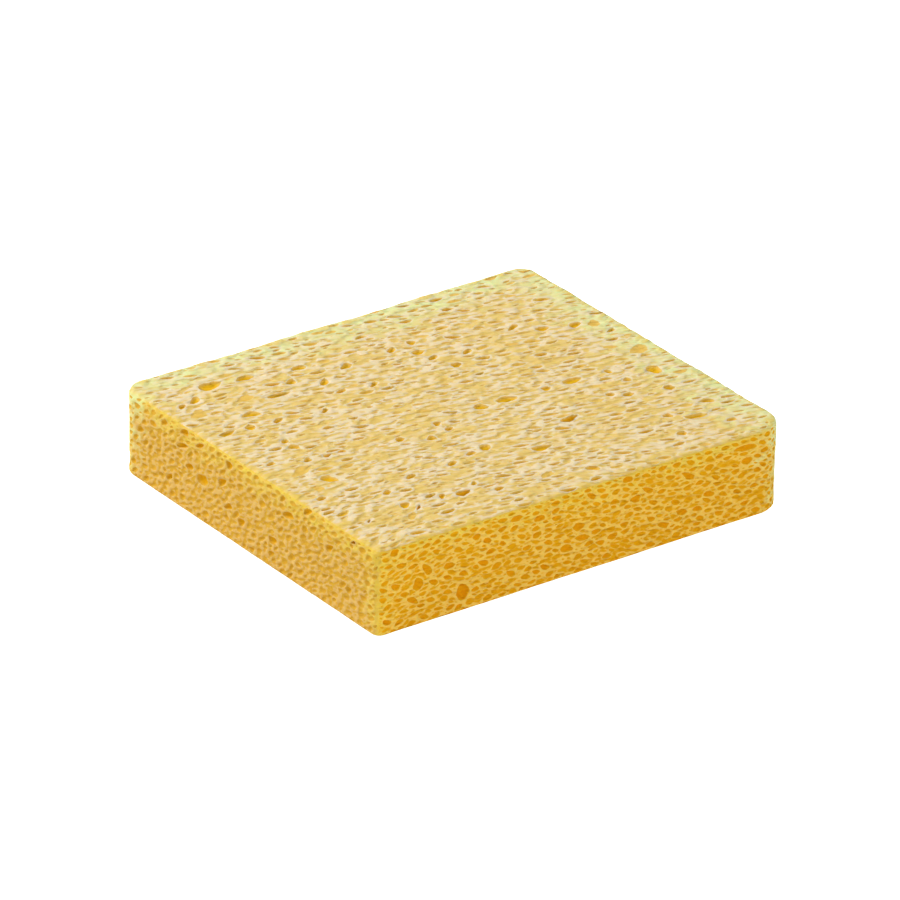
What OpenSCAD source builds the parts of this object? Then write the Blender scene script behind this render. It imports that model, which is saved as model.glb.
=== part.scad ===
// Cleaning sponge: one block of cellulose foam, cut square, with open pores drawn out along its grain.
// The origin is at the middle of the underside. +X runs along the grain, +Y across it and +Z up.

/* [Block] */
// Length along the grain
block_length = 114; // [95:1:140]
// Width across the grain
block_width = 100; // [80:1:125]
// Thickness
block_thickness = 21; // [17:1:34]

/* [Corners and edges] */
// Corner radius at the front left
front_left_r = 2; // [1.8:0.1:10]
// Corner radius at the front right
front_right_r = 8; // [1.8:0.1:10]
// Corner radius at the back right
back_right_r = 4.5; // [1.8:0.1:10]
// Corner radius at the back left
back_left_r = 5; // [1.8:0.1:10]
// Radius of the softened top edge
top_edge_r = 1.2; // [0.4:0.1:1.6]
// Radius of the bottom edge
bottom_edge_r = 0.5; // [0.2:0.1:1]

/* [Pores in the top and the underside] */
// Distance from pore to pore along the grain
flat_pitch = 7; // [6.4:0.1:12]
// Distance from row to row across the grain
flat_row = 4.8; // [4.2:0.1:9]
// Usual length of a pore
flat_pore_length = 3.4; // [2:0.1:4]
// Usual width of a pore
flat_pore_width = 1.4; // [0.8:0.1:1.8]
// Usual depth of a pore
flat_pore_depth = 1.5; // [0.6:0.1:1.6]
// Width of the plain band along the edges
flat_rim = 4; // [3.8:0.1:8]

/* [Pores in the long sides] */
// Distance from pore to pore along the grain
side_pitch = 4.4; // [4.2:0.1:9]
// Distance from row to row up the side
side_row = 2.8; // [2.6:0.1:6]
// Usual length of a pore
side_pore_length = 2.4; // [1.6:0.1:2.6]
// Usual width of a pore
side_pore_width = 1.2; // [0.8:0.1:1.4]
// Usual depth of a pore
side_pore_depth = 1.4; // [0.5:0.1:1.6]
// Width of the plain band along the edges
side_rim = 2.4; // [2.2:0.1:4]

/* [Pores in the ends] */
// Distance from pore to pore across the grain
end_pitch = 4.4; // [4:0.1:9]
// Distance from row to row up the end
end_row = 3.1; // [2.9:0.1:6]
// Usual length of a pore
end_pore_length = 1.9; // [1.4:0.1:2.3]
// Usual width of a pore
end_pore_width = 1.4; // [0.8:0.1:1.6]
// Usual depth of a pore
end_pore_depth = 1.2; // [0.5:0.1:1.5]
// Width of the plain band along the edges
end_rim = 2.4; // [2.2:0.1:4]

/* [Scatter] */
// Seed of the scatter
pore_seed = 3; // [1:1:99]
// Share of the places that hold a pore
pore_share = 0.8; // [0.3:0.05:1]
// Smallest pore as a share of the usual one
smallest_pore = 0.6; // [0.5:0.05:0.8]
// Largest pore as a share of the usual one
largest_pore = 1.5; // [1:0.05:1.5]
// Widest turn of a pore away from the grain, in degrees
widest_turn = 12; // [0:1:20]
// Widest lean of a pore across the grain, in degrees
widest_lean = 20; // [0:1:25]
// Drift of a pore from its place, as a share of the pitch
drift = 0.2; // [0:0.05:0.25]

/* [Hidden] */
$fn = 48;
overcut = 1;
sponge_colour = [0.87, 0.77, 0.45];
face_seeds = [0, 10000, 20000, 30000, 40000, 50000];

// Section of the block from its middle out to a wall at the given distance
module wall_section(reach) {
  difference() {
    square([reach, block_thickness]);
    translate([reach - top_edge_r, block_thickness - top_edge_r])
      quarter_waste(top_edge_r);
    translate([reach - bottom_edge_r, bottom_edge_r])
      mirror([0, 1]) quarter_waste(bottom_edge_r);
  }
}

// What a round of the given radius leaves of its square corner
module quarter_waste(r) {
  difference() {
    square(2 * r);
    circle(r);
  }
}

// One upright corner. Its outline turns from the first heading, in degrees, by a quarter turn.
module corner(x_side, y_side, r, heading) {
  translate([x_side * (block_length / 2 - r), y_side * (block_width / 2 - r), 0])
    rotate([0, 0, heading])
      rotate_extrude(angle = 90)
        wall_section(r);
}

// One straight wall whose outer face points to the heading, between two corners' centres
module wall(heading, reach, from, to) {
  rotate([0, 0, heading])
    translate([0, to, 0])
      rotate([90, 0, 0])
        linear_extrude(to - from)
          wall_section(reach);
}

module block() {
  half_length = block_length / 2;
  half_width = block_width / 2;
  corner(1, 1, back_right_r, 0);
  corner(-1, 1, back_left_r, 90);
  corner(-1, -1, front_left_r, 180);
  corner(1, -1, front_right_r, 270);
  wall(0, half_length, front_right_r - half_width, half_width - back_right_r);
  wall(90, half_width, back_right_r - half_length, half_length - back_left_r);
  wall(180, half_length, back_left_r - half_width, half_width - front_left_r);
  wall(270, half_width, front_left_r - half_length, half_length - front_right_r);
}

// Pointed oval: what two equal circles share
module pointed_oval(oval_length, oval_width) {
  r = (pow(oval_length, 2) + pow(oval_width, 2)) / (4 * oval_width);
  intersection() {
    translate([0, r - oval_width / 2]) circle(r);
    translate([0, oval_width / 2 - r]) circle(r);
  }
}

// Pores sunk into a level face about the origin, in staggered rows. Each has its own size, turn, lean and drift.
module pore_field(face_size, rim, pitch, row, pore_size, seed) {
  columns = floor((face_size.x - 2 * rim) / pitch);
  rows = floor((face_size.y - 2 * rim) / row);
  for (i = [0 : columns - 1], j = [0 : rows - 1]) {
    chance = rands(0, 1, 7, 100 * pore_seed + seed + 100 * i + j);
    stagger = (j % 2 - 0.5) / 2;
    x = (i - (columns - 1) / 2 + stagger + drift * (2 * chance[0] - 1)) * pitch;
    y = (j - (rows - 1) / 2 + drift * (2 * chance[1] - 1)) * row;
    size = smallest_pore + (largest_pore - smallest_pore) * pow(chance[2], 2);
    turn = widest_turn * (2 * chance[3] - 1);
    lean = widest_lean * (2 * chance[4] - 1);
    depth = pore_size.z * (size + chance[5]) / 2;
    if (chance[6] < pore_share)
      translate([x, y, 0])
        rotate([lean, 0, turn])
          translate([0, 0, -depth])
            linear_extrude(depth + overcut)
              pointed_oval(pore_size.x * size, pore_size.y * size);
  }
}

module flat_pores(seed) {
  pore_field(
    [block_length, block_width],
    flat_rim,
    flat_pitch,
    flat_row,
    [flat_pore_length, flat_pore_width, flat_pore_depth],
    seed
  );
}

module side_pores(seed) {
  pore_field(
    [block_length, block_thickness],
    side_rim,
    side_pitch,
    side_row,
    [side_pore_length, side_pore_width, side_pore_depth],
    seed
  );
}

module end_pores(seed) {
  pore_field(
    [block_width, block_thickness],
    end_rim,
    end_pitch,
    end_row,
    [end_pore_length, end_pore_width, end_pore_depth],
    seed
  );
}

// Turns a field that lies level to stand in an upright face that points to the heading
module upright(heading, reach) {
  rotate([0, 0, heading])
    translate([reach, 0, block_thickness / 2])
      rotate([90, 0, 90])
        children();
}

module sponge() {
  color(sponge_colour)
    difference() {
      block();
      translate([0, 0, block_thickness]) flat_pores(face_seeds[0]);
      rotate([180, 0, 0]) flat_pores(face_seeds[1]);
      upright(270, block_width / 2) side_pores(face_seeds[2]);
      upright(90, block_width / 2) side_pores(face_seeds[3]);
      upright(180, block_length / 2) end_pores(face_seeds[4]);
      upright(0, block_length / 2) end_pores(face_seeds[5]);
    }
}

sponge();
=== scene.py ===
"""Looks of a cleaning sponge: a block of cellulose foam whose open pores are drawn out along its grain.

The block's sizes come from the frame. Lengths in the classes are in millimetres, apart from the studio's, and
the finished mesh is in metres.
"""

from __future__ import annotations

import logging
import math
from dataclasses import dataclass
from enum import Enum

import bpy
import numpy as np
from mathutils import Matrix, Vector
from mathutils.geometry import delaunay_2d_cdt

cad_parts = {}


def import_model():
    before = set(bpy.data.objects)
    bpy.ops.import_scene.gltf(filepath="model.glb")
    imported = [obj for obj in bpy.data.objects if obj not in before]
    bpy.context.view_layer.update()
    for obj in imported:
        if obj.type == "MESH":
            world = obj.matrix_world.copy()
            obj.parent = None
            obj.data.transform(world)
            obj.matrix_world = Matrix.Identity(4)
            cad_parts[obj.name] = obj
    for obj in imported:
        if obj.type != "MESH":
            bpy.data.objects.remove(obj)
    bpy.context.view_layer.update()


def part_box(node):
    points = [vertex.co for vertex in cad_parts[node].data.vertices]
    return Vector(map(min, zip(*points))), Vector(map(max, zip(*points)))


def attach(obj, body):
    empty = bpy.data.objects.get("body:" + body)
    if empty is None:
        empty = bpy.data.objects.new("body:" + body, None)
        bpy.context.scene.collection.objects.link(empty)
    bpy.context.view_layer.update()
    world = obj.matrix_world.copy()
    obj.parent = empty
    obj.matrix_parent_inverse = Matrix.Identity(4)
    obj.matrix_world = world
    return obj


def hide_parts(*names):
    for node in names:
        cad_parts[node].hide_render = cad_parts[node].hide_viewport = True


LOG = logging.getLogger("sponge")
MM = 0.001
# Keeps a division away from zero
TINY = 1e-9
# Lengths below this count as none
CLOSE = 1e-6
PHOTO_PIXELS = 900

Array = np.ndarray
Socket = bpy.types.NodeSocket
Pair = tuple[float, float]
Triple = tuple[float, float, float]
Colour = tuple[float, float, float, float]
WHITE: Colour = (1, 1, 1, 1)

# What the mesh carries for the material, point by point
MARKS = (
    "pore_depth",
    "flat_face",
    "end_face",
    "edge_distance",
    "far_edge_distance",
    "grain_x",
    "grain_y",
    "grain_z",
)


class Side(Enum):
    """The six faces of the block, named as the photograph's viewer would."""

    TOP = "top"
    UNDERSIDE = "underside"
    FRONT = "front"
    BACK = "back"
    LEFT = "left"
    RIGHT = "right"


@dataclass(frozen=True)
class Face:
    """One flat face of the square-cornered block that the rounded one is drawn from.

    Its own axes are along and across, and along x across points out of the block.
    """

    side: Side
    centre: Triple
    along: Triple
    across: Triple
    size: Pair

    def lift(self, flat: Array) -> Array:
        """Places points of the face in the block's space.

        Args:
            flat: Points as (along, across) from the face's middle.

        Returns:
            The same points as (x, y, z).
        """
        steps = flat[:, :1] * np.array(self.along) + flat[:, 1:] * np.array(self.across)
        return np.array(self.centre) + steps


@dataclass(frozen=True)
class BlockForm:
    """The rounded block: its sizes, its four upright corners and its two edge rounds."""

    length: float
    width: float
    thickness: float
    front_left: float = 2.0
    front_right: float = 8.0
    back_right: float = 4.5
    back_left: float = 5.0
    top_edge: float = 1.2
    bottom_edge: float = 0.5

    def faces(self) -> list[Face]:
        """Lists the six faces.

        Returns:
            The faces, each with its own axes.
        """
        x, y, z = self.length / 2, self.width / 2, self.thickness / 2
        flat, long_side, end = (2 * x, 2 * y), (2 * x, 2 * z), (2 * y, 2 * z)
        return [
            Face(Side.TOP, (0, 0, 2 * z), (1, 0, 0), (0, 1, 0), flat),
            Face(Side.UNDERSIDE, (0, 0, 0), (1, 0, 0), (0, -1, 0), flat),
            Face(Side.FRONT, (0, -y, z), (1, 0, 0), (0, 0, 1), long_side),
            Face(Side.BACK, (0, y, z), (-1, 0, 0), (0, 0, 1), long_side),
            Face(Side.LEFT, (-x, 0, z), (0, -1, 0), (0, 0, 1), end),
            Face(Side.RIGHT, (x, 0, z), (0, 1, 0), (0, 0, 1), end),
        ]

    def corner_radius(self, x: Array, y: Array) -> Array:
        """Finds the upright corner that is nearest to each place.

        Args:
            x: Places along the block.
            y: Places across the block.

        Returns:
            The radius of that corner.
        """
        front = np.where(x < 0, self.front_left, self.front_right)
        back = np.where(x < 0, self.back_left, self.back_right)
        return np.where(y < 0, front, back)

    def place(self, points: Array, sink: Array) -> Array:
        """Moves points of the square block's skin onto the rounded one, and in along its normal.

        Args:
            points: Points on the square block's skin, as (x, y, z).
            sink: How far each point lies below the skin.

        Returns:
            The points on and in the rounded block.
        """
        x, y, z = points.T
        half_x, half_y = self.length / 2, self.width / 2
        inset = np.minimum(half_x - np.abs(x), half_y - np.abs(y))
        upper = z > self.thickness / 2
        edge = np.where(upper, self.top_edge, self.bottom_edge)
        height = np.where(upper, self.thickness - z, z)
        out = np.clip(1 - inset / edge, 0, None)
        up = np.clip(1 - height / edge, 0, None)
        reach = np.maximum(np.hypot(out, up), TINY)
        rounded = (out > 0) & (up > 0)
        turned_out = np.where(rounded, out / reach, out)
        turned_up = np.where(rounded, up / reach, up)
        new_inset = np.where(rounded, edge * (1 - turned_out), inset)
        new_height = np.where(rounded, edge * (1 - turned_up), height)
        plan, heading = self._round_plan(x, y, new_inset)
        wall_part = np.where(rounded, turned_out, (height > CLOSE).astype(float))
        level_part = np.where(rounded, turned_up, (height <= CLOSE).astype(float))
        normal = np.column_stack([heading * wall_part[:, None], level_part * np.where(upper, 1, -1)])
        normal /= np.linalg.norm(normal, axis=1, keepdims=True)
        new_z = np.where(upper, self.thickness - new_height, new_height)
        return np.column_stack([plan, new_z]) - normal * sink[:, None]

    def _round_plan(self, x: Array, y: Array, inset: Array) -> tuple[Array, Array]:
        """Rounds the plan's corners.

        Args:
            x: Places along the block.
            y: Places across the block.
            inset: How far in from the outline each place belongs.

        Returns:
            The places in plan, and the outward heading there.
        """
        half_x, half_y = self.length / 2, self.width / 2
        radius = self.corner_radius(x, y)
        u = np.abs(x) - (half_x - radius)
        v = np.abs(y) - (half_y - radius)
        in_corner = (u > 0) & (v > 0)
        reach = np.maximum(np.hypot(u, v), TINY)
        to_x_wall = (half_x - np.abs(x)) < (half_y - np.abs(y))
        turned_u = np.where(in_corner, u / reach, to_x_wall.astype(float))
        turned_v = np.where(in_corner, v / reach, (~to_x_wall).astype(float))
        from_centre = radius - inset
        new_x = np.where(in_corner, half_x - radius + turned_u * from_centre, np.abs(x))
        new_y = np.where(in_corner, half_y - radius + turned_v * from_centre, np.abs(y))
        new_x = np.where(~in_corner & to_x_wall, half_x - inset, new_x)
        new_y = np.where(~in_corner & ~to_x_wall, half_y - inset, new_y)
        signs = np.column_stack([np.where(x < 0, -1, 1), np.where(y < 0, -1, 1)])
        return np.column_stack([new_x, new_y]) * signs, np.column_stack([turned_u, turned_v]) * signs


@dataclass(frozen=True)
class GrainField:
    """Which way the foam's cells are drawn out: nearly along the block, with a slow turn near one corner.

    The grain's own space is the block's with this bend taken out, so that there the cells lie straight.
    """

    corner_x: float
    corner_y: float
    flat_slope: float = -0.19
    flat_turn: float = 0.24
    wall_slope: float = -0.1
    wall_turn: float = 0.14
    end_tilt: float = 0.28
    reach: float = 27.0
    spread: float = 1.4

    def _swirl(self, x: Array) -> Array:
        """Rises from the near corner, steep at first."""
        return self.reach * np.tanh((x - self.corner_x) / self.reach)

    def flat_bend(self, x: Array, y: Array) -> Array:
        """Says how far the grain of a flat face has drifted across the block at a place."""
        near = np.exp(-(((y - self.corner_y) / (self.spread * self.reach)) ** 2))
        return self.flat_slope * x + self.flat_turn * self._swirl(x) * near

    def wall_bend(self, x: Array) -> Array:
        """Says how far the grain of a long wall has drifted up at a place."""
        return self.wall_slope * x + self.wall_turn * self._swirl(x)

    def shift(self, side: Side, along: Array, across: Array) -> Array:
        """Gives the drift of the grain on a face, in the face's own axes.

        Args:
            side: Which face.
            along: Places along the face.
            across: Places across the face.

        Returns:
            How far the grain has moved across the face at each place.
        """
        if side is Side.TOP:
            return self.flat_bend(along, across)
        if side is Side.UNDERSIDE:
            return -self.flat_bend(along, -across)
        if side is Side.FRONT:
            return self.wall_bend(along)
        if side is Side.BACK:
            return self.wall_bend(-along)
        return self.end_tilt * along * (1 if side is Side.LEFT else -1)

    def straighten(self, points: Array) -> Array:
        """Takes points of the block into the grain's space.

        Args:
            points: Points as (x, y, z).

        Returns:
            The same points with the bend taken out.
        """
        x, y, z = points.T
        return np.column_stack([x, y - self.flat_bend(x, y), z - self.wall_bend(x) + self.end_tilt * y])


@dataclass(frozen=True)
class PhotoView:
    """Where the photograph was taken from, found by fitting the block's outline to it.

    Angles are in degrees, lengths in millimetres, and the focal length and the centre in the photograph's
    pixels. The centre is where the middle of the underside shows.
    """

    azimuth: float = -36.59
    elevation: float = 26.90
    roll: float = 1.14
    distance: float = 1900.0
    focal: float = 8406.0
    centre_u: float = 453.1
    centre_v: float = 486.4

    SENSOR = 36.0
    CLIP_END = 20.0

    def axes(self) -> tuple[Array, Array, Array]:
        """Finds the directions of the picture in the block's space.

        Returns:
            The picture's right, its up and the heading back to the camera.
        """
        turn, rise, tilt = (math.radians(a) for a in (self.azimuth, self.elevation, self.roll))
        level = math.cos(rise)
        back = np.array([math.sin(turn) * level, -math.cos(turn) * level, math.sin(rise)])
        right = np.array([math.cos(turn), math.sin(turn), 0.0])
        up = np.cross(back, right)
        tilted_right = right * math.cos(tilt) + up * math.sin(tilt)
        return tilted_right, up * math.cos(tilt) - right * math.sin(tilt), back

    def on_face(self, face: Face, pixels: Array) -> Array:
        """Follows pixels of the photograph onto a face.

        Args:
            face: The face that they show.
            pixels: Pixels as (u, v).

        Returns:
            Their places as (along, across) on the face.
        """
        right, up, back = self.axes()
        u, v = pixels.T
        rays = right * ((u - self.centre_u) / self.focal)[:, None]
        rays = rays - up * ((v - self.centre_v) / self.focal)[:, None] - back
        eye = back * self.distance
        out = np.cross(face.along, face.across)
        reach = ((np.array(face.centre) - eye) @ out) / (rays @ out)
        offset = eye + rays * reach[:, None] - np.array(face.centre)
        return np.column_stack([offset @ np.array(face.along), offset @ np.array(face.across)])

    def make_camera(self) -> None:
        """Sets the scene's camera to this view."""
        right, up, back = self.axes()
        data = bpy.data.cameras.new("photo_camera")
        data.sensor_width = self.SENSOR
        data.lens = self.focal / PHOTO_PIXELS * self.SENSOR
        data.shift_x = (PHOTO_PIXELS / 2 - self.centre_u) / PHOTO_PIXELS
        data.shift_y = (self.centre_v - PHOTO_PIXELS / 2) / PHOTO_PIXELS
        data.clip_end = self.CLIP_END
        camera = bpy.data.objects.new("photo_camera", data)
        turn = Matrix([right, up, back]).transposed().to_4x4()
        camera.matrix_world = Matrix.Translation(Vector(back * self.distance * MM)) @ turn
        bpy.context.scene.collection.objects.link(camera)
        bpy.context.scene.camera = camera


class Noise:
    """Smooth seeded noise in space, from about -1 to 1."""

    TABLE = 48
    GAIN = 1.7

    def __init__(self, seed: int) -> None:
        """Draws the table of slopes for this seed."""
        slopes = np.random.default_rng(seed).normal(size=(self.TABLE, self.TABLE, self.TABLE, 3))
        self.slopes = slopes / np.linalg.norm(slopes, axis=-1, keepdims=True)

    def at(self, points: Array, wave: Triple) -> Array:
        """Samples the noise.

        Args:
            points: Places as (x, y, z).
            wave: The noise's wavelength along each axis.

        Returns:
            One value for each place.
        """
        scaled = points / np.array(wave)
        cell = np.floor(scaled).astype(int)
        part = scaled - cell
        ease = part * part * part * (part * (part * 6 - 15) + 10)
        total = np.zeros(len(points))
        for corner in np.ndindex(2, 2, 2):
            place = (cell + np.array(corner)) % self.TABLE
            slope = self.slopes[place[:, 0], place[:, 1], place[:, 2]]
            rise = (slope * (part - np.array(corner))).sum(axis=1)
            total += rise * np.prod(np.abs(1 - np.array(corner) - ease), axis=1)
        return total * self.GAIN


class Hollow(Enum):
    """How a pore is shaped, from a plain dimple to a walled hole, each with a raised lip.

    Each ring has its size and its depth as shares of the pore's own, and takes every so many points of the
    outline.
    """

    DIMPLE = ((1.0, -0.2, 1), (0.0, 1.0, 1))
    CELL = ((1.0, -0.2, 1), (0.66, 0.75, 2), (0.0, 1.0, 1))
    HOLE = ((1.0, -0.2, 1), (0.84, 0.5, 1), (0.5, 0.95, 2), (0.0, 1.0, 1))


ALMOND_WAIST = 0.75
ALMOND_SWELL = 0.35
ALMOND_LEAN = 0.3
ALMOND_ROUGHNESS = 0.13


def almond(length: float, height: float, count: int, random: np.random.Generator) -> Array:
    """Draws an uneven almond about the origin, with its tips along the first axis.

    Args:
        length: From tip to tip.
        height: Across its waist.
        count: How many points it has.
        random: Where its unevenness comes from.

    Returns:
        Its points in order, anticlockwise.
    """
    steps = np.arange(count) / count * 2 * math.pi
    ends = np.cos(steps) * length / 2
    waist = np.sin(steps) * height / 2 * (ALMOND_WAIST + ALMOND_SWELL * np.abs(np.sin(steps)))
    lean, bend = random.uniform(-ALMOND_LEAN, ALMOND_LEAN, 2) * height
    waist += lean * np.cos(steps) + bend * (np.cos(steps) ** 2 - 0.5)
    unevenness = random.uniform(-ALMOND_ROUGHNESS, ALMOND_ROUGHNESS, (count, 1))
    return np.column_stack([ends, waist]) * (1 + unevenness)


@dataclass
class Pore:
    """One pore: its closed outline on the face, how deep it goes and how it is shaped."""

    outline: Array
    depth: float
    hollow: Hollow = Hollow.HOLE

    def rings(self) -> list[tuple[Array, float]]:
        """Lists the pore's rings.

        Returns:
            The rings from its rim to its floor, each with its depth.
        """
        centre = self.outline.mean(axis=0)
        rings = []
        for size, share, step in self.hollow.value:
            ring = centre + (self.outline[::step] - centre) * size
            rings.append((ring if size > 0 else ring[:1], share * self.depth))
        return rings


@dataclass(frozen=True)
class SeenPore:
    """A pore read off the photograph: its middle, its length along its own axis and its height, in pixels.

    Its depth is in millimetres.
    """

    u: float
    v: float
    length: float
    height: float
    depth: float = 0.5

    RIM = 0.15
    LARGE = 11
    POINTS = 10
    LARGE_POINTS = 16
    TURN = 7

    def on(self, face: Face, view: PhotoView, tilt: float, random: np.random.Generator) -> Pore:
        """Draws the pore on the face where the photograph shows it.

        Args:
            face: The face that holds it.
            view: Where the photograph was taken from.
            tilt: How far the pores of this face rise to the right in the picture, in degrees.
            random: Where its unevenness comes from.

        Returns:
            The pore, as an uneven almond that stays inside the face.
        """
        count = self.LARGE_POINTS if self.length > self.LARGE else self.POINTS
        ends, waist = almond(self.length, self.height, count, random).T
        slope = math.radians(tilt + random.uniform(-self.TURN, self.TURN))
        u = self.u + ends * math.cos(slope) - waist * math.sin(slope)
        v = self.v - ends * math.sin(slope) - waist * math.cos(slope)
        room = np.array(face.size) / 2 - self.RIM
        outline = np.clip(view.on_face(face, np.column_stack([u, v])), -room, room)
        turning = np.cross(outline[1] - outline[0], outline[2] - outline[1])
        return Pore(outline if turning > 0 else outline[::-1], self.depth)


SHALLOW = 0.25
DEEP = 0.9
SEEN_TILT = {Side.TOP: 9.0, Side.FRONT: 13.0, Side.LEFT: -12.0}
SEEN = {
    Side.TOP: (
        SeenPore(u=209, v=385, length=25, height=8), SeenPore(u=245, v=378, length=20, height=6),
        SeenPore(u=195, v=400, length=11, height=7),
        SeenPore(u=199, v=414, length=18, height=9, depth=SHALLOW),
        SeenPore(u=245, v=398, length=18, height=6, depth=SHALLOW),
        SeenPore(u=251, v=414, length=22, height=6), SeenPore(u=250, v=427, length=11, height=6),
        SeenPore(u=227, v=433, length=17, height=5), SeenPore(u=278, v=420, length=11, height=5),
        SeenPore(u=278, v=395, length=25, height=4), SeenPore(u=299, v=368, length=16, height=5),
        SeenPore(u=291, v=382, length=11, height=6), SeenPore(u=324, v=382, length=10, height=7),
        SeenPore(u=346, v=366, length=12, height=6), SeenPore(u=341, v=391, length=11, height=4),
        SeenPore(u=285, v=441, length=9, height=5), SeenPore(u=294, v=447, length=14, height=5),
        SeenPore(u=342, v=451, length=9, height=3), SeenPore(u=327, v=455, length=9, height=3),
        SeenPore(u=308, v=460, length=9, height=5),
        SeenPore(u=301, v=471, length=21, height=9, depth=SHALLOW),
        SeenPore(u=329, v=479, length=20, height=6),
        SeenPore(u=318, v=488, length=15, height=5, depth=SHALLOW),
        SeenPore(u=321, v=498, length=11, height=4), SeenPore(u=182, v=406, length=8, height=5),
        SeenPore(u=271, v=464, length=10, height=4), SeenPore(u=325, v=410, length=8, height=4),
        SeenPore(u=463, v=492, length=17, height=6, depth=DEEP), SeenPore(u=442, v=495, length=7, height=5),
        SeenPore(u=411, v=476, length=11, height=5), SeenPore(u=499, v=488, length=11, height=4),
        SeenPore(u=541, v=447, length=21, height=5), SeenPore(u=485, v=447, length=13, height=6),
        SeenPore(u=471, v=453, length=11, height=4), SeenPore(u=452, v=463, length=10, height=5),
        SeenPore(u=474, v=483, length=7, height=4), SeenPore(u=405, v=504, length=11, height=6),
        SeenPore(u=412, v=515, length=10, height=7, depth=SHALLOW),
        SeenPore(u=387, v=492, length=9, height=5), SeenPore(u=593, v=468, length=17, height=4),
        SeenPore(u=547, v=474, length=14, height=6, depth=SHALLOW),
        SeenPore(u=575, v=324, length=13, height=5),
        SeenPore(u=594, v=323, length=14, height=7, depth=SHALLOW),
        SeenPore(u=611, v=330, length=9, height=4),
        SeenPore(u=639, v=349, length=20, height=9, depth=SHALLOW),
        SeenPore(u=608, v=371, length=9, height=4), SeenPore(u=627, v=379, length=9, height=5),
        SeenPore(u=572, v=380, length=22, height=6), SeenPore(u=654, v=369, length=18, height=8),
        SeenPore(u=669, v=387, length=12, height=5), SeenPore(u=610, v=394, length=10, height=4),
        SeenPore(u=628, v=394, length=12, height=4), SeenPore(u=707, v=400, length=18, height=4),
        SeenPore(u=696, v=415, length=25, height=5), SeenPore(u=668, v=415, length=12, height=4),
        SeenPore(u=732, v=419, length=13, height=4), SeenPore(u=569, v=418, length=18, height=6, depth=DEEP),
        SeenPore(u=682, v=433, length=12, height=4), SeenPore(u=506, v=399, length=22, height=6),
        SeenPore(u=481, v=406, length=17, height=6), SeenPore(u=546, v=388, length=11, height=5),
        SeenPore(u=542, v=328, length=14, height=5), SeenPore(u=513, v=327, length=12, height=5),
        SeenPore(u=418, v=352, length=14, height=5), SeenPore(u=433, v=357, length=11, height=5),
        SeenPore(u=411, v=342, length=10, height=5), SeenPore(u=456, v=364, length=12, height=5),
        SeenPore(u=374, v=384, length=9, height=5), SeenPore(u=432, v=438, length=11, height=5),
        SeenPore(u=437, v=423, length=9, height=5), SeenPore(u=400, v=439, length=10, height=5),
        SeenPore(u=449, v=428, length=9, height=4), SeenPore(u=391, v=350, length=9, height=5),
        SeenPore(u=467, v=351, length=10, height=5), SeenPore(u=369, v=521, length=4, height=3, depth=DEEP),
        SeenPore(u=419, v=507, length=5, height=4, depth=DEEP),
    ),
    Side.FRONT: (
        SeenPore(u=418, v=585, length=12, height=11),
        SeenPore(u=463, v=593, length=15, height=14, depth=DEEP), SeenPore(u=413, v=601, length=11, height=7),
        SeenPore(u=427, v=569, length=10, height=11), SeenPore(u=450, v=566, length=13, height=6),
        SeenPore(u=484, v=563, length=11, height=6), SeenPore(u=477, v=537, length=10, height=6),
        SeenPore(u=488, v=541, length=9, height=6), SeenPore(u=517, v=519, length=14, height=6),
        SeenPore(u=540, v=519, length=13, height=6), SeenPore(u=579, v=527, length=13, height=8),
        SeenPore(u=583, v=538, length=15, height=6), SeenPore(u=592, v=496, length=9, height=6),
        SeenPore(u=567, v=549, length=14, height=8), SeenPore(u=395, v=553, length=11, height=7),
        SeenPore(u=689, v=476, length=13, height=7), SeenPore(u=628, v=480, length=12, height=6),
        SeenPore(u=746, v=448, length=25, height=6), SeenPore(u=747, v=461, length=12, height=7),
        SeenPore(u=682, v=512, length=12, height=6), SeenPore(u=698, v=509, length=11, height=6),
        SeenPore(u=664, v=525, length=12, height=6), SeenPore(u=613, v=536, length=12, height=6),
        SeenPore(u=636, v=499, length=12, height=7), SeenPore(u=648, v=490, length=11, height=6),
        SeenPore(u=709, v=494, length=12, height=6),
    ),
    Side.LEFT: (
        SeenPore(u=202, v=480, length=13, height=10), SeenPore(u=222, v=482, length=9, height=8),
        SeenPore(u=229, v=465, length=8, height=8), SeenPore(u=169, v=477, length=8, height=6),
        SeenPore(u=189, v=467, length=9, height=6), SeenPore(u=184, v=433, length=10, height=6),
        SeenPore(u=182, v=446, length=12, height=5), SeenPore(u=199, v=446, length=9, height=5),
        SeenPore(u=228, v=507, length=9, height=7), SeenPore(u=241, v=522, length=9, height=7),
        SeenPore(u=272, v=540, length=10, height=7), SeenPore(u=307, v=512, length=9, height=8),
        SeenPore(u=288, v=516, length=13, height=6), SeenPore(u=329, v=548, length=8, height=7),
        SeenPore(u=353, v=543, length=5, height=3, depth=DEEP),
    ),
}


@dataclass(frozen=True)
class PoreStyle:
    """How the scattered pores look on one kind of face. Lengths are in millimetres.

    The height is given as a share of the length, and the depth as a share of the height.
    """

    count: int
    length: Pair
    height: Pair
    depth: Pair
    rarity: float
    ground: Pair
    rim: float = 0.35


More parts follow.
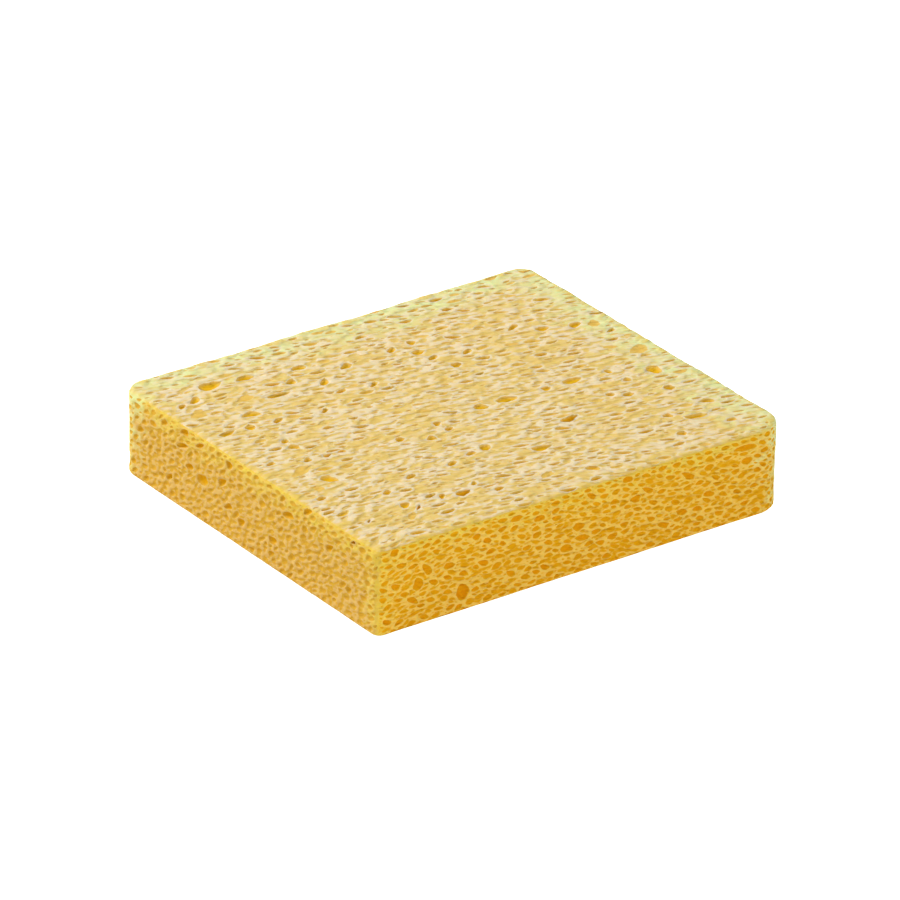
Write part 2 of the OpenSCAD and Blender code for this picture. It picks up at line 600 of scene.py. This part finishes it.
STYLES = {
    Side.TOP: PoreStyle(1400, (1.4, 4.6), (0.28, 0.46), (0.12, 0.45), 1.9, (1.35, 0.9)),
    Side.UNDERSIDE: PoreStyle(700, (2.0, 5.4), (0.3, 0.45), (0.12, 0.45), 2.0, (2.0, 1.4)),
    Side.FRONT: PoreStyle(2100, (1.0, 3.0), (0.32, 0.55), (0.15, 0.42), 1.6, (1.3, 0.8), 0.2),
    Side.BACK: PoreStyle(700, (1.5, 4.4), (0.3, 0.5), (0.2, 0.5), 1.7, (1.6, 1.0)),
    Side.LEFT: PoreStyle(950, (1.2, 3.2), (0.36, 0.62), (0.1, 0.26), 1.8, (1.1, 0.9), 0.2),
    Side.RIGHT: PoreStyle(550, (1.6, 3.8), (0.42, 0.7), (0.12, 0.35), 1.8, (1.3, 1.0)),
}


@dataclass
class FaceMesh:
    """The triangles of one face, before they are joined to their neighbours."""

    points: Array
    sink: Array
    triangles: Array


class FoamFace:
    """Draws one face of the foam: its pores, its ground and its triangles."""

    EDGE_STEP = 0.9
    EDGE_ROWS = (0.3, 0.75, 1.25)
    RASTER = 0.08
    CLEARANCE = 1.12
    TRIES = 20
    ROUND = 1.5
    POINTS = 10
    FEW_POINTS = 8
    GROUND_GAP = 0.3
    GROUND_DRIFT = 0.28

    def __init__(self, face: Face, grain: GrainField, seed: int, chosen: list[Pore]) -> None:
        """Keeps what the face is drawn from.

        Args:
            face: The face of the square block.
            grain: Which way the pores run.
            seed: Seed of its scatter.
            chosen: Pores that are placed one by one.
        """
        self.face = face
        self.grain = grain
        self.style = STYLES[face.side]
        self.chosen = chosen
        self.random = np.random.default_rng(seed)
        self.half = np.array(face.size) / 2
        steps = np.ceil(np.array(face.size) / self.RASTER).astype(int) + 1
        self.taken = np.zeros(tuple(steps), dtype=bool)

    def build(self) -> FaceMesh:
        """Draws the face.

        Returns:
            Its points on the square block, how far each sinks, and its triangles.
        """
        for pore in self.chosen:
            self._claim(pore.outline)
        pores = self.chosen + self._scattered_pores()
        points, sinks, links = self._edge_points()
        start = sum(len(p) for p in points)
        for pore in pores:
            for ring, depth in pore.rings():
                count = len(ring)
                points.append(ring)
                sinks.append(np.full(count, depth))
                if count > 2:
                    index = np.arange(count) + start
                    links.append(np.column_stack([index, np.roll(index, -1)]))
                start += count
        ground = self._ground_points()
        points.append(ground)
        sinks.append(np.zeros(len(ground)))
        return self._triangulate(np.vstack(points), np.concatenate(sinks), np.vstack(links))

    def _edge_points(self) -> tuple[list, list, list]:
        """Draws the face's outline, which its neighbours share, and the rows that follow the edge round.

        Returns:
            Their points, how far each sinks, and the links that the mesh keeps.
        """
        points, sinks, links = [], [], []
        start = 0
        for inset in (0.0, *self.EDGE_ROWS):
            loop = self._loop(inset)
            if inset > 0:
                loop = loop[self._clear(loop)]
            index = np.arange(len(loop)) + start
            points.append(loop)
            sinks.append(np.zeros(len(loop)))
            if inset == 0:
                links.append(np.column_stack([index, np.roll(index, -1)]))
            start += len(loop)
        return points, sinks, links

    def _loop(self, inset: float) -> Array:
        """Draws a closed rectangle of even steps.

        Args:
            inset: How far in from the face's outline it runs.

        Returns:
            Its points in order.
        """
        half = self.half - inset
        counts = np.maximum(1, np.round(2 * self.half / self.EDGE_STEP)).astype(int)
        along = np.linspace(-1, 1, counts[0] + 1)[:-1] * half[0]
        across = np.linspace(-1, 1, counts[1] + 1)[:-1] * half[1]
        return np.vstack(
            [
                np.column_stack([along, np.full(len(along), -half[1])]),
                np.column_stack([np.full(len(across), half[0]), across]),
                np.column_stack([-along, np.full(len(along), half[1])]),
                np.column_stack([np.full(len(across), -half[0]), -across]),
            ]
        )

    def _scattered_pores(self) -> list[Pore]:
        """Throws pores at the face, the longest first.

        Returns:
            Those that land between the others.
        """
        style = self.style
        low, high = style.length
        chance = np.sort(self.random.random(style.count))[::-1]
        pores = []
        for length in low * (high / low) ** (chance**style.rarity):
            height = length * self.random.uniform(*style.height)
            outline = self._outline(length, height)
            if outline is not None:
                depth = height * self.random.uniform(*style.depth)
                pores.append(Pore(outline, depth, Hollow.CELL if length > self.ROUND else Hollow.DIMPLE))
                self._claim(outline)
        return pores

    def _outline(self, length: float, height: float) -> Array | None:
        """Finds a free place for a pore of this size.

        Args:
            length: The pore's length along the grain.
            height: Its height across the grain.

        Returns:
            Its outline on the face, or None where no try lands on a free place.
        """
        count = self.POINTS if length > self.ROUND else self.FEW_POINTS
        shape = almond(length, height, count, self.random)
        room = self.half - self.style.rim
        for middle in self.random.uniform(-room, room, (self.TRIES, 2)):
            outline = middle + shape
            outline[:, 1] += self._shift(outline) - self._shift(middle[None, :])
            if np.all(np.abs(outline) < room) and self._free(outline):
                return outline
        return None

    def _shift(self, flat: Array) -> Array:
        """Gives the grain's drift at places on the face."""
        return self.grain.shift(self.face.side, flat[:, 0], flat[:, 1])

    def _cells_of(self, outline: Array) -> tuple[slice, slice, Array]:
        """Finds the raster cells that a widened outline covers.

        Args:
            outline: Its points in order.

        Returns:
            The rows and the columns about it, and which of their cells it covers.
        """
        centre = outline.mean(axis=0)
        ring = centre + (outline - centre) * self.CLEARANCE
        low = np.floor((ring.min(axis=0) + self.half) / self.RASTER).astype(int)
        high = np.ceil((ring.max(axis=0) + self.half) / self.RASTER).astype(int) + 1
        low = np.clip(low, 0, None)
        high = np.minimum(high, self.taken.shape)
        xs = np.arange(low[0], high[0]) * self.RASTER - self.half[0]
        ys = np.arange(low[1], high[1]) * self.RASTER - self.half[1]
        grid = np.stack(np.meshgrid(xs, ys, indexing="ij"), axis=-1)
        return slice(low[0], high[0]), slice(low[1], high[1]), inside(grid, ring)

    def _claim(self, outline: Array) -> None:
        """Marks the place of a pore as taken."""
        rows, columns, covered = self._cells_of(outline)
        self.taken[rows, columns] |= covered

    def _free(self, outline: Array) -> bool:
        """Tells whether no other pore is in the outline's place."""
        rows, columns, covered = self._cells_of(outline)
        return not np.any(self.taken[rows, columns] & covered)

    def _ground_points(self) -> Array:
        """Scatters points over the ground between the pores.

        Returns:
            The points on the face.
        """
        step = np.array(self.style.ground)
        room = self.half - self.EDGE_ROWS[-1] - self.GROUND_GAP
        counts = np.maximum(2, np.round(2 * room / step)).astype(int)
        axes = [np.linspace(-room[k], room[k], counts[k]) for k in (0, 1)]
        grid = np.stack(np.meshgrid(*axes, indexing="ij"), axis=-1)
        grid[:, ::2, 0] += step[0] / 2
        points = grid.reshape(-1, 2)
        points += self.random.uniform(-self.GROUND_DRIFT, self.GROUND_DRIFT, points.shape) * step
        points = np.clip(points, -room, room)
        return points[self._clear(points)]

    def _clear(self, points: Array) -> Array:
        """Tells which points lie outside every pore."""
        cell = np.round((points + self.half) / self.RASTER).astype(int)
        return ~self.taken[cell[:, 0], cell[:, 1]]

    def _triangulate(self, flat: Array, sink: Array, links: Array) -> FaceMesh:
        """Joins the points with triangles that keep every pore's rings.

        Args:
            flat: The points on the face.
            sink: How far each sinks.
            links: Pairs of points that an edge has to join.

        Returns:
            The face's mesh. Where two outlines cross, it has a point more.
        """
        stretch = np.array([self.style.ground[1] / self.style.ground[0], 1.0])
        scaled = [Vector(p) for p in flat * stretch]
        found = delaunay_2d_cdt(scaled, [tuple(map(int, e)) for e in links], [], 0, CLOSE)
        vertices, faces, origins = found[0], found[2], found[3]
        source = np.array([o[0] if o else -1 for o in origins])
        crossings = np.flatnonzero(source < 0)
        found_at = np.array([tuple(v) for v in vertices]) / stretch
        for index in crossings:
            source[index] = np.argmin(((flat - found_at[index]) ** 2).sum(axis=1))
        if len(crossings):
            LOG.info("%s: %d crossings of pore outlines", self.face.side.value, len(crossings))
        exact = flat[source]
        exact[crossings] = found_at[crossings]
        return FaceMesh(self.face.lift(exact), sink[source], np.array(faces))


def inside(grid: Array, ring: Array) -> Array:
    """Tells which points of a grid lie inside a closed outline.

    Args:
        grid: Points, with their two coordinates last.
        ring: The outline's points in order.

    Returns:
        One truth value for each point of the grid.
    """
    answer = np.zeros(grid.shape[:-1], dtype=bool)
    for a, b in zip(ring, np.roll(ring, -1, axis=0)):
        crosses = (a[1] > grid[..., 1]) != (b[1] > grid[..., 1])
        rise = (b[1] - a[1]) or TINY
        meets = grid[..., 0] < (b[0] - a[0]) * (grid[..., 1] - a[1]) / rise + a[0]
        answer ^= crosses & meets
    return answer


@dataclass
class FoamBlock:
    """The sponge itself: six faces of foam, joined along the block's edges into one closed skin."""

    form: BlockForm
    view: PhotoView
    seed: int = 7
    name: str = "foam_block"

    WRINKLE = (4.2, 2.4, 1.7)
    SWELL = (19.0, 13.0, 11.0)
    WRINKLE_DEPTH = 0.14
    WRINKLE_BASE = 0.5
    WRINKLE_SEED = 11
    SWELL_DEPTH = 0.15
    SWELL_BASE = 0.6
    SWELL_SEED = 13
    FACE_SEEDS = 100
    LIME_FALL = 0.4
    FOOT_HEIGHT = 4.0
    FOOT_SHARE = 0.3
    WELD = 0.002

    def __post_init__(self) -> None:
        """Starts the grain's turn at the near corner."""
        self.grain = GrainField(-self.form.length / 2, -self.form.width / 2)

    def build(self, finish: bpy.types.Material) -> bpy.types.Object:
        """Makes the block.

        Args:
            finish: The foam's material.

        Returns:
            The block as one object.
        """
        parts = [self._face(number, face) for number, face in enumerate(self.form.faces())]
        square, joined = self._join([part.points for part in parts])
        sink = np.zeros(len(square))
        flat, end = np.zeros(len(square)), np.zeros(len(square))
        triangles = []
        offset = 0
        for part, face in zip(parts, self.form.faces()):
            own = joined[offset : offset + len(part.points)]
            sink[own] = part.sink
            flat[own] = face.side in (Side.TOP, Side.UNDERSIDE)
            end[own] = face.side in (Side.LEFT, Side.RIGHT)
            triangles.append(own[part.triangles])
            offset += len(part.points)
        places = self.form.place(square, sink + self._dent(square))
        places[:, 2] = np.maximum(places[:, 2], 0)
        block = self._object(places, np.vstack(triangles), finish)
        values = (sink, flat, end, *self._edges(square), *self.grain.straighten(places).T)
        for label, each in zip(MARKS, values):
            self._mark(block, label, each)
        return block

    def _face(self, number: int, face: Face) -> FaceMesh:
        """Draws one face, with the pores that the photograph shows on it.

        Args:
            number: Its place in the list of faces.
            face: The face.

        Returns:
            Its mesh.
        """
        random = np.random.default_rng(self.seed + number)
        seen = [p.on(face, self.view, SEEN_TILT[face.side], random) for p in SEEN.get(face.side, ())]
        mesh = FoamFace(face, self.grain, self.seed + self.FACE_SEEDS * number, seen).build()
        LOG.info("%s: %d points, %d triangles", face.side.value, len(mesh.points), len(mesh.triangles))
        return mesh

    def _join(self, sets: list[Array]) -> tuple[Array, Array]:
        """Joins the faces' points where they meet.

        Args:
            sets: Each face's points on the square block.

        Returns:
            The points without doubles, and for each point of the faces its place among them.
        """
        every = np.vstack(sets)
        keys = np.round(every / self.WELD).astype(np.int64)
        _, first, joined = np.unique(keys, axis=0, return_index=True, return_inverse=True)
        return every[first], joined.reshape(-1)

    def _dent(self, square: Array) -> Array:
        """Draws the wrinkles and swells of the skin, which fade at the foot.

        Args:
            square: Points on the square block's skin.

        Returns:
            How far the skin lies below the block's true faces there.
        """
        fine = Noise(self.seed + self.WRINKLE_SEED).at(self.grain.straighten(square), self.WRINKLE)
        broad = Noise(self.seed + self.SWELL_SEED).at(square, self.SWELL)
        wrinkle = self.WRINKLE_DEPTH * np.clip(self.WRINKLE_BASE + fine, 0, 1)
        swell = self.SWELL_DEPTH * np.clip(self.SWELL_BASE + broad, 0, None)
        return (wrinkle + swell) * np.clip(self.FOOT_SHARE + square[:, 2] / self.FOOT_HEIGHT, 0, 1)

    def _edges(self, square: Array) -> tuple[Array, Array]:
        """Measures how far each point is from the edges.

        Args:
            square: Points on the square block's skin.

        Returns:
            The distance to the nearest top or upright edge, and to the top's two far edges, where the way
            down a wall counts for less.
        """
        x, y, z = square.T
        half_x, half_y = self.form.length / 2, self.form.width / 2
        below = self.form.thickness - z
        to_ends, to_sides = half_x - np.abs(x), half_y - np.abs(y)
        nearest = np.minimum(np.minimum(to_ends, to_sides) + below, np.maximum(to_ends, to_sides))
        return nearest, np.minimum(half_x - x, half_y - y) + self.LIME_FALL * below

    def _object(self, places: Array, triangles: Array, finish: bpy.types.Material) -> bpy.types.Object:
        """Makes the mesh object.

        Args:
            places: Its points.
            triangles: Three points' numbers for each triangle.
            finish: Its material.

        Returns:
            The object, in the scene.
        """
        mesh = bpy.data.meshes.new(self.name)
        mesh.vertices.add(len(places))
        mesh.vertices.foreach_set("co", (places * MM).ravel())
        mesh.loops.add(triangles.size)
        mesh.loops.foreach_set("vertex_index", triangles.ravel())
        mesh.polygons.add(len(triangles))
        mesh.polygons.foreach_set("loop_start", np.arange(len(triangles)) * 3)
        mesh.update(calc_edges=True)
        mesh.validate()
        mesh.polygons.foreach_set("use_smooth", np.ones(len(mesh.polygons), dtype=bool))
        mesh.materials.append(finish)
        block = bpy.data.objects.new(self.name, mesh)
        bpy.context.scene.collection.objects.link(block)
        return block

    def _mark(self, block: bpy.types.Object, label: str, values: Array) -> None:
        """Writes one value a point for the material to read."""
        layer = block.data.attributes.new(label, "FLOAT", "POINT")
        layer.data.foreach_set("value", values.astype(np.float32))


class NodeSheet:
    """A node tree that is filled in from code."""

    def __init__(self, tree: bpy.types.NodeTree) -> None:
        """Starts with an empty tree."""
        self.tree = tree
        tree.nodes.clear()

    def add(self, kind: str, inputs: dict | None = None, **settings: object) -> bpy.types.Node:
        """Adds a node.

        Args:
            kind: The node's type.
            inputs: Values or sockets for its inputs, by name or number.
            settings: Its own settings.

        Returns:
            The node.
        """
        node = self.tree.nodes.new(kind)
        for label, value in settings.items():
            setattr(node, label, value)
        for label, value in (inputs or {}).items():
            self.feed(node.inputs[label], value)
        return node

    def feed(self, socket: Socket, value: object) -> None:
        """Fills an input.

        Args:
            socket: The input.
            value: A socket to link to it, or a value of its own.
        """
        if isinstance(value, Socket):
            self.tree.links.new(value, socket)
        else:
            socket.default_value = value

    def math(self, operation: str, first: object, second: object, third: object = 0.0) -> Socket:
        """Adds a sum of two or three values."""
        return self.add("ShaderNodeMath", {0: first, 1: second, 2: third}, operation=operation).outputs[0]

    def blend(self, share: object, first: object, second: object) -> Socket:
        """Mixes two colours."""
        inputs = {"Factor": share, 6: first, 7: second}
        return self.add("ShaderNodeMix", inputs, data_type="RGBA").outputs[2]

    def ramp(self, value: object, low: float, high: float, top: float = 1.0) -> Socket:
        """Eases a value from 0 at low to the top at high."""
        inputs = {"Value": value, "From Min": low, "From Max": high, "To Max": top}
        return self.add("ShaderNodeMapRange", inputs, interpolation_type="SMOOTHSTEP").outputs[0]

    def vector(self, operation: str, first: object, second: object) -> Socket:
        """Adds a sum of two vectors."""
        return self.add("ShaderNodeVectorMath", {0: first, 1: second}, operation=operation).outputs[0]

    def noise(self, place: object, scale: float, detail: float) -> Socket:
        """Adds smooth noise."""
        inputs = {"Vector": place, "Scale": scale, "Detail": detail}
        return self.add("ShaderNodeTexNoise", inputs).outputs["Fac"]

    def attribute(self, name: str) -> Socket:
        """Reads a value that the mesh carries."""
        return self.add("ShaderNodeAttribute", attribute_name=name).outputs["Fac"]


@dataclass(frozen=True)
class RidgePattern:
    """The foam's small ridges drawn out along the grain, a mask of painted shade on their sides that face
    away from the light, and the slow tone that goes with them.
    """

    scale: float = 1.0
    detail: float = 0.6
    tone_scale: float = 0.4
    tone_detail: float = 2.0
    height_range: Pair = (0.25, 0.75)
    shade_range: Pair = (-0.03, 0.12)

    def build(self) -> bpy.types.NodeTree:
        """Builds the node group that draws them.

        Returns:
            The group. Its inputs are the place, the ridges' size and the step towards the light, as a share
            of that size. Its outputs are the ridges' height, a mask of painted shade on their sides away from
            the light, and the slow tone.
        """
        tree = bpy.data.node_groups.new("foam_ridges", "ShaderNodeTree")
        for label in ("Place", "Size", "Step"):
            tree.interface.new_socket(label, in_out="INPUT", socket_type="NodeSocketVector")
        for label in ("Height", "Shade", "Tone"):
            tree.interface.new_socket(label, in_out="OUTPUT", socket_type="NodeSocketFloat")
        sheet = NodeSheet(tree)
        given = sheet.add("NodeGroupInput").outputs
        squeezed = sheet.vector("DIVIDE", given["Place"], given["Size"])
        beyond = sheet.vector("ADD", squeezed, given["Step"])
        here = sheet.noise(squeezed, self.scale, self.detail)
        there = sheet.noise(beyond, self.scale, self.detail)
        slow = sheet.noise(squeezed, self.tone_scale, self.tone_detail)
        height = sheet.ramp(here, *self.height_range)
        # Painted shade: the mask is 1 where the ground rises towards the light, on the ridges' sides that
        # turn away from it
        shade = sheet.ramp(sheet.math("SUBTRACT", there, here), *self.shade_range)
        sheet.add("NodeGroupOutput", {"Height": height, "Shade": shade, "Tone": slow})
        return tree


@dataclass(frozen=True)
class FoamFinish:
    """The foam's colours and surface, with painted shade on the ridges' sides away from the light and in the
    pores, and a painted highlight on the pores' lips.

    Colours are linear, and sizes are in millimetres along x, y and z. A margin is given as its reach and its
    strength, and a range as where an effect starts and where it is full.
    """

    # The ridge colours are each face's colour where no shade is painted
    top_ridge: Colour = (0.94, 0.77, 0.49, 1)
    # Painted shade on the ridges of the top and the underside, on their sides away from the light
    top_painted_shade: Colour = (0.86, 0.60, 0.17, 1)
    top_gold: Colour = (0.88, 0.62, 0.17, 1)
    # Painted shade in the pores of the top and the underside: deeper orange towards their floors, in place of
    # the shade and bounced light inside them
    top_shallow_pore_shade: Colour = (0.87, 0.57, 0.13, 1)
    top_deep_pore_shade: Colour = (0.86, 0.48, 0.012, 1)
    wall_ridge: Colour = (0.98, 0.62, 0.11, 1)
    # Painted shade on the long walls' ridges; also the long walls' shallow pore colour and the end walls'
    # deep pore colour
    wall_painted_shade: Colour = (0.82, 0.40, 0.004, 1)
    # Painted shade deep in the long walls' pores
    side_deep_pore_shade: Colour = (0.80, 0.35, 0.003, 1)
    end_ridge: Colour = (0.80, 0.51, 0.145, 1)
    # Painted shade on the end walls' ridges, also their shallow pore colour
    end_painted_shade: Colour = (0.755, 0.42, 0.04, 1)
    lime: Colour = (0.84, 0.93, 0.44, 1)
    edge: Colour = (0.86, 0.61, 0.09, 1)
    band: Colour = (0.92, 0.69, 0.10, 1)
    ridge_size: Triple = (2.5, 1.7, 1.1)
    light_step: Triple = (-0.15, 0.3, 0.3)
    band_margin: Pair = (7.5, 0.9)
    lime_margin: Pair = (16.0, 1.0)
    edge_margin: Pair = (2.6, 0.65)
    margin_core: float = 0.3
    gold_range: Pair = (0.44, 0.62)
    gold_share: float = 0.9
    # Depths over which the pores' raised lips take a painted highlight
    lip_highlight_range: Pair = (-0.02, -0.1)
    # Depths where the painted shade in the pores begins, and where it turns to the deepest colour
    rim_range: Pair = (-0.04, 0.12)
    deep_range: Pair = (0.15, 0.5)
    rough: float = 0.85
    gloss: float = 0.05
    translucence: float = 0.4
    scatter: Triple = (1.0, 0.75, 0.5)
    scatter_reach: float = 0.6
    bump: float = 1.0
    end_calm: float = 0.6
    relief: float = 0.5

    def build(self) -> bpy.types.Material:
        """Makes the material.

        Returns:
            The foam's material.
        """
        material = bpy.data.materials.new("cellulose_foam")
        material.use_nodes = True
        sheet = NodeSheet(material.node_tree)
        depth, flat, end, edge, far_edge, *axes = (sheet.attribute(label) for label in MARKS)
        place = sheet.add("ShaderNodeCombineXYZ", dict(enumerate(axes))).outputs[0]
        inputs = {"Place": place, "Size": self.ridge_size, "Step": self.light_step}
        ridges = sheet.add("ShaderNodeGroup", inputs, node_tree=RidgePattern().build()).outputs
        streak, shade, slow = (ridges[label] for label in ("Height", "Shade", "Tone"))
        ridge = sheet.blend(flat, sheet.blend(end, self.wall_ridge, self.end_ridge), self.top_ridge)
        # Painted shade: the shaded copy of each face's colour, laid where the ridges turn away from the light
        painted_shade = sheet.blend(flat, sheet.blend(end, self.wall_painted_shade, self.end_painted_shade), self.top_painted_shade)
        skin = sheet.blend(shade, ridge, painted_shade)
        golden = sheet.math("MULTIPLY", sheet.ramp(slow, *self.gold_range, self.gold_share), flat)
        skin = sheet.blend(golden, skin, self.top_gold)
        beside = sheet.math("SUBTRACT", 1.0, flat)
        skin = sheet.blend(self._margin(sheet, edge, slow, beside, self.band_margin), skin, self.band)
        skin = sheet.blend(self._margin(sheet, far_edge, slow, 1.0, self.lime_margin), skin, self.lime)
        skin = sheet.blend(self._margin(sheet, edge, streak, flat, self.edge_margin), skin, self.edge)
        # Painted highlight: the raised lips round the pores take the unshaded ridge colour back
        skin = sheet.blend(sheet.ramp(depth, *self.lip_highlight_range), skin, ridge)
        # Painted shade in the pores: the colour turns deeper orange as they go down
        hollow = sheet.blend(flat, painted_shade, self.top_shallow_pore_shade)
        pore = sheet.blend(flat, sheet.blend(end, self.side_deep_pore_shade, self.wall_painted_shade), self.top_deep_pore_shade)
        pore_shade = sheet.blend(sheet.ramp(depth, *self.deep_range), hollow, pore)
        skin = sheet.blend(sheet.ramp(depth, *self.rim_range), skin, pore_shade)
        strength = sheet.math("MULTIPLY_ADD", end, -self.end_calm, self.bump)
        inputs = {"Height": streak, "Strength": strength, "Distance": self.relief * MM}
        bump = sheet.add("ShaderNodeBump", inputs)
        shader = {
            "Base Color": skin,
            "Roughness": self.rough,
            "Specular IOR Level": self.gloss,
            "Subsurface Weight": self.translucence,
            "Subsurface Radius": self.scatter,
            "Subsurface Scale": self.scatter_reach * MM,
            "Normal": bump.outputs[0],
        }
        surface = sheet.add("ShaderNodeBsdfPrincipled", shader).outputs[0]
        sheet.add("ShaderNodeOutputMaterial", {"Surface": surface})
        return material

    def _margin(
        self,
        sheet: NodeSheet,
        distance: Socket,
        uneven: Socket,
        where: Socket | float,
        margin: Pair,
    ) -> Socket:
        """Draws an uneven margin along an edge.

        Args:
            sheet: The material's nodes.
            distance: How far each place is from the edge.
            uneven: What the margin's border wanders with, about 0.5.
            where: 1 on the faces that have the margin, and 0 on the others.
            margin: How wide it is, in millimetres, and how strong at the edge.

        Returns:
            The margin's share at each place.
        """
        reach, strength = margin
        wander = sheet.math("MULTIPLY_ADD", uneven, -2.0 * reach, sheet.math("ADD", distance, reach))
        share = sheet.ramp(wander, reach, -self.margin_core * reach, strength)
        return sheet.math("MULTIPLY", share, where)


@dataclass(frozen=True)
class Studio:
    """A plain white floor under soft light, with a lamp high at the far left and a fill at the near right.

    Far, near, left and right are as the photograph's viewer sees them. Lengths are in metres.
    """

    floor_size: float = 8.0
    floor_tone: float = 0.9
    floor_glow: float = 1.0
    floor_drop: float = 0.02 * MM
    sky: float = 0.46
    key_power: float = 25.7
    key_size: float = 0.6
    key_place: Triple = (-0.8, 1.4, 1.1)
    fill_power: float = 14.2
    fill_size: float = 1.2
    fill_place: Triple = (-0.1, -1.9, 0.7)

    def build(self) -> None:
        """Makes the floor, the sky and the two lamps."""
        bpy.context.scene.view_settings.view_transform = "Standard"
        self._make_floor()
        self._make_sky()
        self._make_lamp("key_lamp", self.key_power, self.key_size, self.key_place)
        self._make_lamp("fill_lamp", self.fill_power, self.fill_size, self.fill_place)

    def _make_floor(self) -> None:
        """Lays the floor just under the object."""
        half = self.floor_size / 2
        corners = [(-half, -half, 0), (half, -half, 0), (half, half, 0), (-half, half, 0)]
        mesh = bpy.data.meshes.new("floor")
        mesh.from_pydata(corners, [], [(0, 1, 2, 3)])
        material = bpy.data.materials.new("pale_floor")
        material.use_nodes = True
        sheet = NodeSheet(material.node_tree)
        tone = (self.floor_tone, self.floor_tone, self.floor_tone, 1)
        surface = sheet.add("ShaderNodeBsdfDiffuse", {"Color": tone}).outputs[0]
        lift = sheet.add("ShaderNodeEmission", {"Color": WHITE, "Strength": self.floor_glow}).outputs[0]
        both = sheet.add("ShaderNodeAddShader", {0: surface, 1: lift}).outputs[0]
        seen = sheet.add("ShaderNodeLightPath").outputs["Is Camera Ray"]
        mixed = sheet.add("ShaderNodeMixShader", {0: seen, 1: surface, 2: both}).outputs[0]
        sheet.add("ShaderNodeOutputMaterial", {"Surface": mixed})
        mesh.materials.append(material)
        floor = bpy.data.objects.new("floor", mesh)
        floor.location.z = -self.floor_drop
        bpy.context.scene.collection.objects.link(floor)

    def _make_sky(self) -> None:
        """Lights the object evenly from all round, and shows white behind it."""
        world = bpy.data.worlds.new("soft_sky")
        world.use_nodes = True
        sheet = NodeSheet(world.node_tree)
        glow = sheet.add("ShaderNodeBackground", {"Color": WHITE, "Strength": self.sky}).outputs[0]
        white = sheet.add("ShaderNodeBackground", {"Color": WHITE, "Strength": 1.0}).outputs[0]
        seen = sheet.add("ShaderNodeLightPath").outputs["Is Camera Ray"]
        mixed = sheet.add("ShaderNodeMixShader", {0: seen, 1: glow, 2: white}).outputs[0]
        sheet.add("ShaderNodeOutputWorld", {"Surface": mixed})
        bpy.context.scene.world = world

    def _make_lamp(self, name: str, power: float, size: float, place: Triple) -> None:
        """Hangs a square lamp that faces the object.

        Args:
            name: The lamp's name.
            power: Its power in watts.
            size: The length of its side.
            place: Where it hangs.
        """
        data = bpy.data.lights.new(name, "AREA")
        data.energy = power
        data.size = size
        lamp = bpy.data.objects.new(name, data)
        lamp.location = place
        lamp.rotation_euler = Vector(place).to_track_quat("Z", "Y").to_euler()
        bpy.context.scene.collection.objects.link(lamp)


def main() -> None:
    """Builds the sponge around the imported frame."""
    logging.basicConfig(level=logging.INFO, format="%(name)s: %(message)s")
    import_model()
    low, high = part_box("sponge")
    form = BlockForm(*((np.array(high) - np.array(low)) / MM))
    view = PhotoView()
    view.make_camera()
    Studio().build()
    block = FoamBlock(form, view).build(FoamFinish().build())
    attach(block, "root")
    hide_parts("sponge")
    LOG.info("%s: %d triangles", block.name, len(block.data.polygons))


if __name__ == "__main__":
    main()
